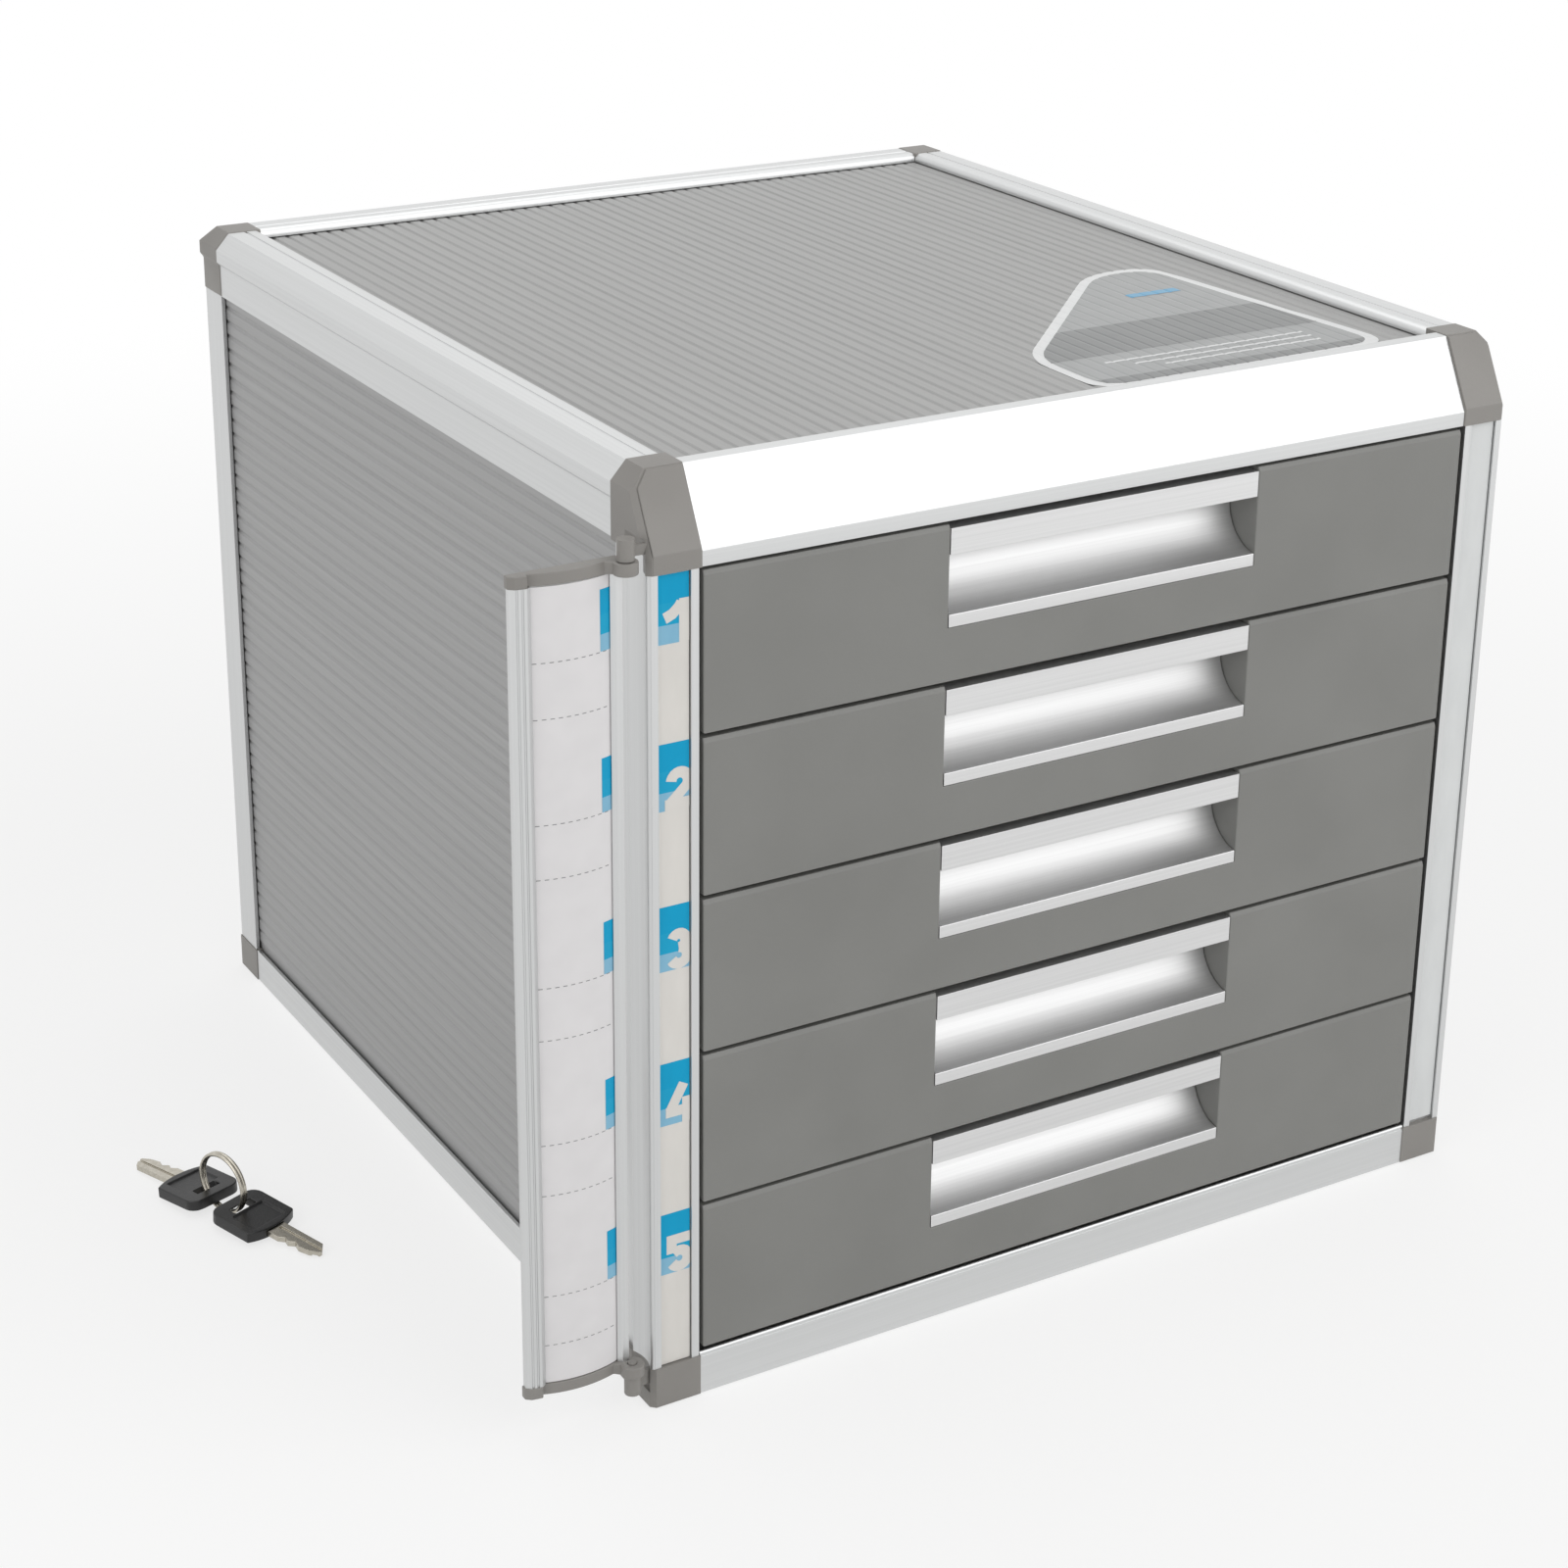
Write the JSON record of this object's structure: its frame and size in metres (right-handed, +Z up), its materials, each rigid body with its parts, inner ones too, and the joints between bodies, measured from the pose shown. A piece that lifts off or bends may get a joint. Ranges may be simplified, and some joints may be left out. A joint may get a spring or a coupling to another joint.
{
  "type": "desk drawer cabinet with index flap",
  "caption": "Small desk cabinet: aluminium frame with moulded corners, ribbed panels, five drawers with recessed handles, a hinged index flap, a side lock and keys.",
  "frame": {"origin": "middle of the cabinet's base, on the surface it stands on", "axes": "+Z up, the drawers open towards -Y, +X to the right seen from the front"},
  "size_m": [0.3877, 0.3342, 0.2857],
  "materials": {
    "rail_aluminium": "satin silver anodised",
    "post_aluminium": "satin silver anodised",
    "corner_plastic": "fine moulded grain",
    "ribbed_board": "ribbed, satin grey",
    "sheet_steel": "plain zinc-grey sheet",
    "runner_plastic": "moulded",
    "front_plastic": "smooth, slightly satin",
    "handle_aluminium": "fine brushed, anodised",
    "tray_plastic": "moulded",
    "number_card": "printed strip under gloss film",
    "plain_card": "plain strip",
    "label_paper": "printed card",
    "flap_aluminium": "satin silver anodised",
    "screw_steel": "zinc plated",
    "lock_chrome": "polished",
    "lock_brass": "plain brass",
    "bar_steel": "zinc plated",
    "key_nickel": "nickel plated",
    "key_plastic": "black, moulded"
  },
  "bodies": {
    "cabinet": {"top_front_rail": "rail_aluminium", "top_left_rail": "rail_aluminium", "top_right_rail": "rail_aluminium", "top_rear_rail": "rail_aluminium", "bottom_front_rail": "rail_aluminium", "bottom_left_rail": "rail_aluminium", "bottom_right_rail": "rail_aluminium", "bottom_rear_rail": "rail_aluminium", "front_left_post": "post_aluminium", "front_right_post": "post_aluminium", "rear_left_post": "post_aluminium", "rear_right_post": "post_aluminium", "cap_front_left": "corner_plastic", "cap_front_right": "corner_plastic", "cap_rear_left": "corner_plastic", "cap_rear_right": "corner_plastic", "block_front_left": "corner_plastic", "block_front_right": "corner_plastic", "block_rear_left": "corner_plastic", "block_rear_right": "corner_plastic", "top_panel": "ribbed_board", "left_panel": "ribbed_board", "right_panel": "ribbed_board", "rear_panel": "ribbed_board", "bottom_panel": "sheet_steel", "left_runner_panel": "runner_plastic", "right_runner_panel": "runner_plastic", "number_strip": "number_card", "plain_strip": "plain_card", "base_screws": "screw_steel", "lock_housing": "lock_chrome", "lock_nut": "lock_brass", "key_1_blade": "key_nickel", "key_2_blade": "key_nickel", "key_ring": "key_nickel", "key_1_head": "key_plastic", "key_2_head": "key_plastic"},
    "label_flap": {"label_flap": "flap_aluminium", "flap_top_arm": "corner_plastic", "flap_bottom_arm": "corner_plastic", "label_card": "label_paper"},
    "lock_plug": {"lock_plug": "lock_chrome", "lock_cam": "lock_brass", "lock_pin": "bar_steel"},
    "lock_bar": {"lock_bar": "bar_steel"},
    "drawer_1": {"drawer_1_front": "front_plastic", "drawer_1_handle": "handle_aluminium", "drawer_1_tray": "tray_plastic"},
    "drawer_2": {"drawer_2_front": "front_plastic", "drawer_2_handle": "handle_aluminium", "drawer_2_tray": "tray_plastic"},
    "drawer_3": {"drawer_3_front": "front_plastic", "drawer_3_handle": "handle_aluminium", "drawer_3_tray": "tray_plastic"},
    "drawer_4": {"drawer_4_front": "front_plastic", "drawer_4_handle": "handle_aluminium", "drawer_4_tray": "tray_plastic"},
    "drawer_5": {"drawer_5_front": "front_plastic", "drawer_5_handle": "handle_aluminium", "drawer_5_tray": "tray_plastic"}
  },
  "joints": [
    {"name": "flap_hinge", "type": "hinge", "parent": "cabinet", "child": "label_flap", "pos_m": [-0.1572, -0.1645, 0.14], "axis": [0, 0, -1], "range_deg": [-180, 0]},
    {"name": "lock_turn", "type": "hinge", "parent": "cabinet", "child": "lock_plug", "pos_m": [0.148, -0.131, 0.24], "axis": [-1, 0, 0], "range_deg": [-90, 0]},
    {"name": "bar_slide", "type": "slide", "parent": "cabinet", "child": "lock_bar", "axis": [0, 0, -1], "range_m": [-0.00849, 0]},
    {"name": "drawer_1_slide", "type": "slide", "parent": "cabinet", "child": "drawer_1", "axis": [0, -1, 0], "range_m": [0, 0.25]},
    {"name": "drawer_2_slide", "type": "slide", "parent": "cabinet", "child": "drawer_2", "axis": [0, -1, 0], "range_m": [0, 0.25]},
    {"name": "drawer_3_slide", "type": "slide", "parent": "cabinet", "child": "drawer_3", "axis": [0, -1, 0], "range_m": [0, 0.25]},
    {"name": "drawer_4_slide", "type": "slide", "parent": "cabinet", "child": "drawer_4", "axis": [0, -1, 0], "range_m": [0, 0.25]},
    {"name": "drawer_5_slide", "type": "slide", "parent": "cabinet", "child": "drawer_5", "axis": [0, -1, 0], "range_m": [0, 0.25]}
  ],
  "couplings": [
    {"joint": "lock_turn", "follows": "bar_slide", "rad_per_m": 185.12}
  ]
}
